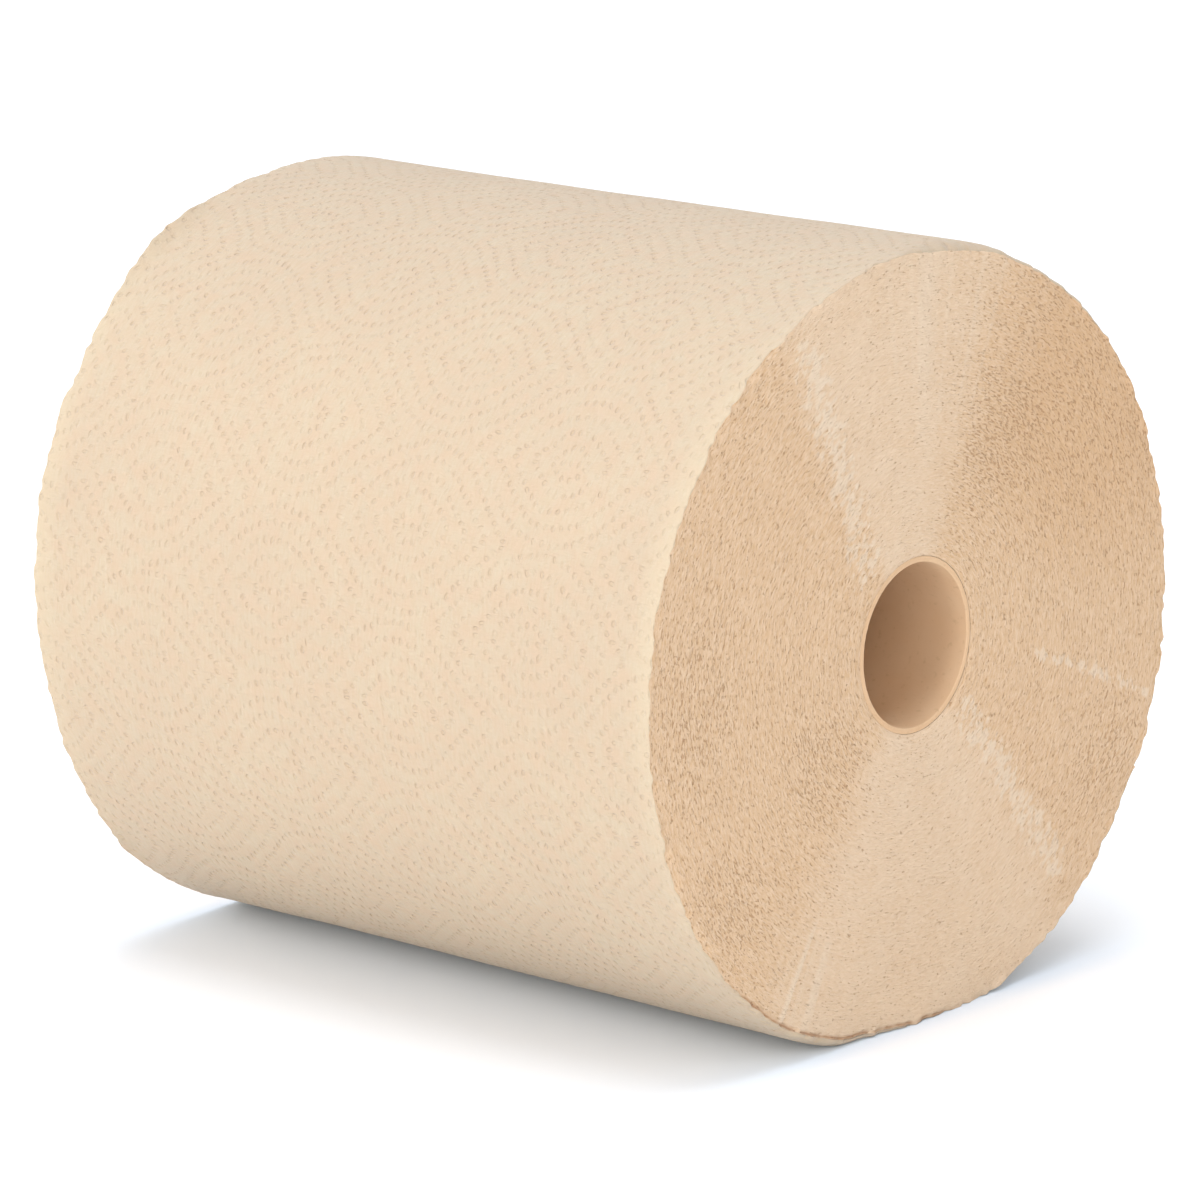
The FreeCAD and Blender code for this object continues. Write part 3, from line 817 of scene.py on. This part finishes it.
def put_roll():
    """All pieces of the roll: four panels of the outermost turn, the edge of its loose
    end, both end faces and the core."""
    paper, edges, board = tissue(), sawn_edges(), chipboard()
    angle = np.linspace(TAIL_ANGLE, TAIL_ANGLE + FULL_TURN, ANGLE_COUNT + 1)
    points, sheet = skin(angle, skin_columns())
    normals = grid_normals(points)
    bounds = np.linspace(0, ANGLE_COUNT, PANEL_COUNT + 1).astype(int)
    for number, (first, last) in enumerate(zip(bounds, bounds[1:]), start=1):
        rows = slice(first, last + 1)
        put_grid(f"outer_turn_panel_{number}", points[rows], paper, "paper_winding",
                 {"place": sheet[rows]}, normals[rows])
    loose_end = np.stack([points[-1], points[0]])
    put_grid("loose_end_edge", loose_end, paper, "paper_winding",
             {"place": np.stack([sheet[-1], sheet[-1]])})

    near, place, marks = [grid[:, ::-1] for grid in end_face(points[:, -1], angle, NEAR_END, NEAR_RINGS)]
    normals = grid_normals(near)
    band = NEAR_RINGS - 1 - BAND_RING
    near_pieces = (("near_end_outer_turns", slice(0, band + 1)), ("near_end_inner_turns", slice(band, None)))
    for name, columns in near_pieces:
        put_grid(name, near[:, columns], edges, "paper_winding",
                 {"place": place[:, columns], "marks": marks[:, columns]}, normals[:, columns])
    far, place, marks = end_face(points[:, 0], angle, FAR_END, FAR_RINGS)
    put_grid("far_end_turns", far, edges, "paper_winding",
             {"place": place, "marks": marks})

    put_grid("wound_core", core_tube()[:, ::-1], board, "core_tube", closed=True)


def put_floor():
    """A plain pale floor."""
    low, high = -FLOOR_HALF, FLOOR_HALF
    mesh = bpy.data.meshes.new("floor")
    mesh.from_pydata([(low, low, 0), (high, low, 0), (high, high, 0), (low, high, 0)], [], [(0, 1, 2, 3)])
    material, tree, shader = new_material("pale_studio_floor")
    # A shade cooler round the roll, against the warm light that the paper throws there
    where = add(tree, "ShaderNodeTexCoord").outputs["Object"]
    off = add(tree, "ShaderNodeVectorMath", {0: where}, operation="ABSOLUTE")
    past = add(tree, "ShaderNodeVectorMath", {
        0: off, 1: (HALF_LENGTH * MM, TINT_START, 0)}, operation="SUBTRACT")
    beyond = add(tree, "ShaderNodeVectorMath", {0: past, 1: (0, 0, 0)}, operation="MAXIMUM")
    stretched = add(tree, "ShaderNodeVectorMath", {0: beyond, 1: (TINT_STRETCH, 1, 0)}, operation="MULTIPLY")
    away = add(tree, "ShaderNodeVectorMath", {0: stretched}, operation="LENGTH")
    share = add(tree, "ShaderNodeMapRange", {
        0: away.outputs[1], 1: 0.0, 2: TINT_REACH}, interpolation_type="SMOOTHSTEP")
    tint = add(tree, "ShaderNodeMixRGB", {
        "Fac": share, "Color1": linear("E9F2FB"), "Color2": linear("FBFCFD")})
    tree.links.new(tint.outputs[0], shader.inputs["Base Color"])
    shader.inputs["Roughness"].default_value = 0.9
    shader.inputs["Specular IOR Level"].default_value = 0.1
    mesh.materials.append(material)
    floor = bpy.data.objects.new("floor", mesh)
    bpy.context.scene.collection.objects.link(floor)


def put_light(name, place, aim, size, power, colour):
    """A square soft light that faces a point."""
    light = bpy.data.lights.new(name, "AREA")
    light.shape = "SQUARE"
    light.size = size
    light.energy = power
    light.color = colour
    lamp = bpy.data.objects.new(name, light)
    lamp.location = place
    direction = np.subtract(aim, place)
    flat = np.hypot(direction[0], direction[1])
    turn = np.arctan2(direction[1], direction[0]) - np.pi / 2
    lamp.rotation_euler = (np.arctan2(flat, -direction[2]), 0, turn)
    bpy.context.scene.collection.objects.link(lamp)


def put_studio():
    """White surroundings, soft lights on all sides, and the camera."""
    scene = bpy.context.scene
    world = bpy.data.worlds.new("white_room")
    world.use_nodes = True
    tree = world.node_tree
    background = tree.nodes["Background"]
    background.inputs["Strength"].default_value = WORLD_LIGHT
    way = add(tree, "ShaderNodeSeparateXYZ", {0: add(tree, "ShaderNodeTexCoord").outputs["Generated"]})
    height = add(tree, "ShaderNodeMapRange", {0: way.outputs["Z"]})
    sky = add(tree, "ShaderNodeMixRGB", {"Fac": height, "Color1": SKY_LEVEL, "Color2": SKY_OVERHEAD})
    tree.links.new(sky.outputs[0], background.inputs["Color"])
    scene.world = world
    for name, place, size, power, colour in LIGHTS:
        put_light(name, place, LIGHT_AIM, size, power, colour)
    scene.view_settings.view_transform = "Standard"
    scene.view_settings.look = "None"

    lens = bpy.data.cameras.new("camera")
    lens.sensor_width = SENSOR_WIDTH
    lens.lens = FOCAL_LENGTH
    lens.clip_end = VIEW_END
    camera = bpy.data.objects.new("camera", lens)
    camera.location = CAMERA_PLACE
    camera.rotation_euler = np.radians(CAMERA_TURN)
    scene.collection.objects.link(camera)
    scene.camera = camera


put_roll()
put_floor()
put_studio()
